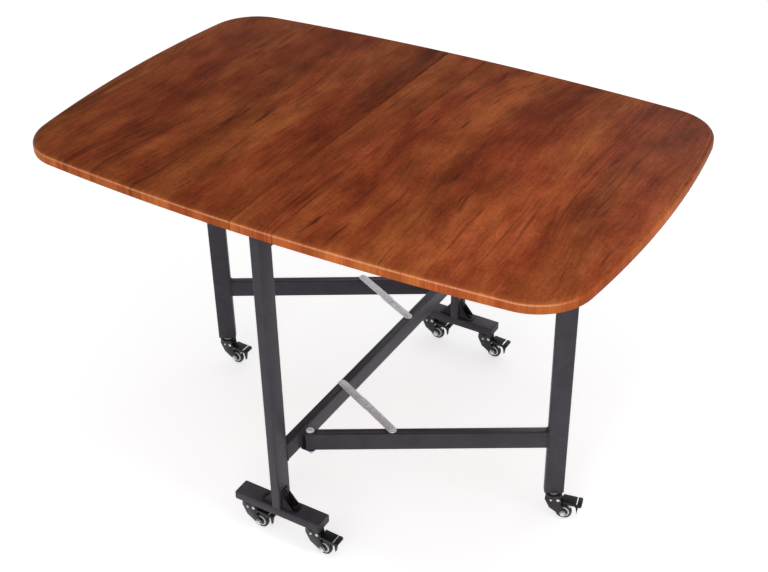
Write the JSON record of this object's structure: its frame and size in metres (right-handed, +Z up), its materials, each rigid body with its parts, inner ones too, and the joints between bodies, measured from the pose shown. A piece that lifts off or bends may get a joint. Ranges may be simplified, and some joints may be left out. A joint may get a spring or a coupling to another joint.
{
  "type": "folding dining table",
  "caption": "Gate-leg folding dining table: bowed wood-look top with drop leaves on a slim steel frame, swing-out gates with folding braces, braked casters.",
  "frame": {"origin": "on the floor under the middle of the top, which is the bottom centre of the overall box", "axes": "+X along the 1.2 m length of the top, +Y across it, +Z up"},
  "size_m": [1.2, 0.8, 0.75],
  "materials": {
    "walnut_board": "satin wood-grain laminate",
    "charcoal_steel": "fine matte powder coat",
    "zinc_steel": "zinc plated",
    "black_steel": "black coating, half gloss",
    "black_plastic": "matte",
    "wheel_rubber": "smooth, with a pale ring"
  },
  "bodies": {
    "frame": {"caster_far_left_stem": "zinc_steel", "caster_far_right_stem": "zinc_steel", "caster_near_left_stem": "zinc_steel", "caster_near_right_stem": "zinc_steel", "centre_board": "walnut_board", "corner_bracket_far_left": "black_steel", "corner_bracket_far_right": "black_steel", "corner_bracket_near_left": "black_steel", "corner_bracket_near_right": "black_steel", "foot_far": "charcoal_steel", "foot_far_cap_left": "black_plastic", "foot_far_cap_right": "black_plastic", "foot_near": "charcoal_steel", "foot_near_cap_left": "black_plastic", "foot_near_cap_right": "black_plastic", "gate_left_pivot_bolt": "zinc_steel", "gate_right_pivot_bolt": "zinc_steel", "hinge_left_far_frame_flap": "black_steel", "hinge_left_near_frame_flap": "black_steel", "hinge_right_far_frame_flap": "black_steel", "hinge_right_near_frame_flap": "black_steel", "leg_far": "charcoal_steel", "leg_near": "charcoal_steel", "stretcher": "charcoal_steel", "top_rail": "charcoal_steel"},
    "leaf_right": {"leaf_right_board": "walnut_board", "hinge_right_near_leaf_flap": "black_steel", "hinge_right_far_leaf_flap": "black_steel"},
    "gate_right": {"gate_right_bar": "charcoal_steel", "gate_right_leg": "charcoal_steel", "caster_gate_right_stem": "zinc_steel"},
    "brace_right_lower": {"brace_right_lower_link": "zinc_steel"},
    "brace_right_upper": {"brace_right_upper_link": "zinc_steel"},
    "leaf_left": {"leaf_left_board": "walnut_board", "hinge_left_near_leaf_flap": "black_steel", "hinge_left_far_leaf_flap": "black_steel"},
    "gate_left": {"gate_left_bar": "charcoal_steel", "gate_left_leg": "charcoal_steel", "caster_gate_left_stem": "zinc_steel"},
    "brace_left_lower": {"brace_left_lower_link": "zinc_steel"},
    "brace_left_upper": {"brace_left_upper_link": "zinc_steel"},
    "caster_near_left_fork": {"caster_near_left_fork": "black_steel"},
    "caster_near_left_wheel": {"caster_near_left_wheel": "wheel_rubber"},
    "caster_near_left_pedal": {"caster_near_left_pedal": "black_steel"},
    "caster_near_right_fork": {"caster_near_right_fork": "black_steel"},
    "caster_near_right_wheel": {"caster_near_right_wheel": "wheel_rubber"},
    "caster_near_right_pedal": {"caster_near_right_pedal": "black_steel"},
    "caster_far_left_fork": {"caster_far_left_fork": "black_steel"},
    "caster_far_left_wheel": {"caster_far_left_wheel": "wheel_rubber"},
    "caster_far_left_pedal": {"caster_far_left_pedal": "black_steel"},
    "caster_far_right_fork": {"caster_far_right_fork": "black_steel"},
    "caster_far_right_wheel": {"caster_far_right_wheel": "wheel_rubber"},
    "caster_far_right_pedal": {"caster_far_right_pedal": "black_steel"},
    "caster_gate_right_fork": {"caster_gate_right_fork": "black_steel"},
    "caster_gate_right_wheel": {"caster_gate_right_wheel": "wheel_rubber"},
    "caster_gate_right_pedal": {"caster_gate_right_pedal": "black_steel"},
    "caster_gate_left_fork": {"caster_gate_left_fork": "black_steel"},
    "caster_gate_left_wheel": {"caster_gate_left_wheel": "wheel_rubber"},
    "caster_gate_left_pedal": {"caster_gate_left_pedal": "black_steel"}
  },
  "joints": [
    {"name": "leaf_right_lift", "type": "hinge", "parent": "frame", "child": "leaf_right", "pos_m": [0.044, 0, 0.7245], "axis": [0, -1, 0], "range_deg": [0, 2.2]},
    {"name": "gate_right_swing", "type": "hinge", "parent": "frame", "child": "gate_right", "pos_m": [0.02675, -0.298, 0.208], "axis": [0, 0, 1], "range_deg": [0, 59.5]},
    {"name": "brace_right_lower_fold", "type": "hinge", "parent": "frame", "child": "brace_right_lower", "pos_m": [0, -0.136, 0.228], "axis": [0, 0, 1], "range_deg": [-56.09, 0]},
    {"name": "brace_right_upper_fold", "type": "hinge", "parent": "gate_right", "child": "brace_right_upper", "pos_m": [0.16634, -0.21578, 0.228], "axis": [0, 0, 1], "range_deg": [0, 47.84]},
    {"name": "leaf_left_lift", "type": "hinge", "parent": "frame", "child": "leaf_left", "pos_m": [-0.044, 0, 0.7245], "axis": [0, 1, 0], "range_deg": [0, 2.2]},
    {"name": "gate_left_swing", "type": "hinge", "parent": "frame", "child": "gate_left", "pos_m": [-0.02675, 0.298, 0.208], "axis": [0, 0, 1], "range_deg": [0, 59.5]},
    {"name": "brace_left_lower_fold", "type": "hinge", "parent": "frame", "child": "brace_left_lower", "pos_m": [0, 0.136, 0.228], "axis": [0, 0, 1], "range_deg": [-56.09, 0]},
    {"name": "brace_left_upper_fold", "type": "hinge", "parent": "gate_left", "child": "brace_left_upper", "pos_m": [-0.16634, 0.21578, 0.228], "axis": [0, 0, 1], "range_deg": [0, 47.84]},
    {"name": "caster_near_left_swivel", "type": "hinge", "parent": "frame", "child": "caster_near_left_fork", "pos_m": [-0.077, -0.374, 0.06], "axis": [0, 0, 1], "continuous": true},
    {"name": "caster_near_left_roll", "type": "hinge", "parent": "caster_near_left_fork", "child": "caster_near_left_wheel", "pos_m": [-0.0535, -0.374, 0.0172], "axis": [0, 1, 0], "continuous": true},
    {"name": "caster_near_left_brake", "type": "hinge", "parent": "caster_near_left_fork", "child": "caster_near_left_pedal", "pos_m": [-0.065, -0.374, 0.0505], "axis": [0, 1, 0], "range_deg": [0, 15]},
    {"name": "caster_near_right_swivel", "type": "hinge", "parent": "frame", "child": "caster_near_right_fork", "pos_m": [0.077, -0.374, 0.06], "axis": [0, 0, 1], "continuous": true},
    {"name": "caster_near_right_roll", "type": "hinge", "parent": "caster_near_right_fork", "child": "caster_near_right_wheel", "pos_m": [0.1005, -0.374, 0.0172], "axis": [0, 1, 0], "continuous": true},
    {"name": "caster_near_right_brake", "type": "hinge", "parent": "caster_near_right_fork", "child": "caster_near_right_pedal", "pos_m": [0.089, -0.374, 0.0505], "axis": [0, 1, 0], "range_deg": [0, 15]},
    {"name": "caster_far_left_swivel", "type": "hinge", "parent": "frame", "child": "caster_far_left_fork", "pos_m": [-0.077, 0.374, 0.06], "axis": [0, 0, 1], "continuous": true},
    {"name": "caster_far_left_roll", "type": "hinge", "parent": "caster_far_left_fork", "child": "caster_far_left_wheel", "pos_m": [-0.0535, 0.374, 0.0172], "axis": [0, 1, 0], "continuous": true},
    {"name": "caster_far_left_brake", "type": "hinge", "parent": "caster_far_left_fork", "child": "caster_far_left_pedal", "pos_m": [-0.065, 0.374, 0.0505], "axis": [0, 1, 0], "range_deg": [0, 15]},
    {"name": "caster_far_right_swivel", "type": "hinge", "parent": "frame", "child": "caster_far_right_fork", "pos_m": [0.077, 0.374, 0.06], "axis": [0, 0, 1], "continuous": true},
    {"name": "caster_far_right_roll", "type": "hinge", "parent": "caster_far_right_fork", "child": "caster_far_right_wheel", "pos_m": [0.1005, 0.374, 0.0172], "axis": [0, 1, 0], "continuous": true},
    {"name": "caster_far_right_brake", "type": "hinge", "parent": "caster_far_right_fork", "child": "caster_far_right_pedal", "pos_m": [0.089, 0.374, 0.0505], "axis": [0, 1, 0], "range_deg": [0, 15]},
    {"name": "caster_gate_right_swivel", "type": "hinge", "parent": "gate_right", "child": "caster_gate_right_fork", "pos_m": [0.44809, -0.04981, 0.06], "axis": [0, 0, 1], "continuous": true},
    {"name": "caster_gate_right_roll", "type": "hinge", "parent": "caster_gate_right_fork", "child": "caster_gate_right_wheel", "pos_m": [0.47089, -0.04413, 0.0172], "axis": [-0.2419, 0.9703, 0], "continuous": true},
    {"name": "caster_gate_right_brake", "type": "hinge", "parent": "caster_gate_right_fork", "child": "caster_gate_right_pedal", "pos_m": [0.45973, -0.04691, 0.0505], "axis": [-0.2419, 0.9703, 0], "range_deg": [0, 15]},
    {"name": "caster_gate_left_swivel", "type": "hinge", "parent": "gate_left", "child": "caster_gate_left_fork", "pos_m": [-0.44809, 0.04981, 0.06], "axis": [0, 0, 1], "continuous": true},
    {"name": "caster_gate_left_roll", "type": "hinge", "parent": "caster_gate_left_fork", "child": "caster_gate_left_wheel", "pos_m": [-0.42459, 0.04981, 0.0172], "axis": [0, 1, 0], "continuous": true},
    {"name": "caster_gate_left_brake", "type": "hinge", "parent": "caster_gate_left_fork", "child": "caster_gate_left_pedal", "pos_m": [-0.43609, 0.04981, 0.0505], "axis": [0, 1, 0], "range_deg": [0, 15]}
  ],
  "couplings": [
    {"joint": "brace_right_lower_fold", "follows": "gate_right_swing", "ratio": -0.94182},
    {"joint": "brace_right_upper_fold", "follows": "gate_right_swing", "ratio": 0.8031},
    {"joint": "brace_left_lower_fold", "follows": "gate_left_swing", "ratio": -0.94182},
    {"joint": "brace_left_upper_fold", "follows": "gate_left_swing", "ratio": 0.8031}
  ]
}
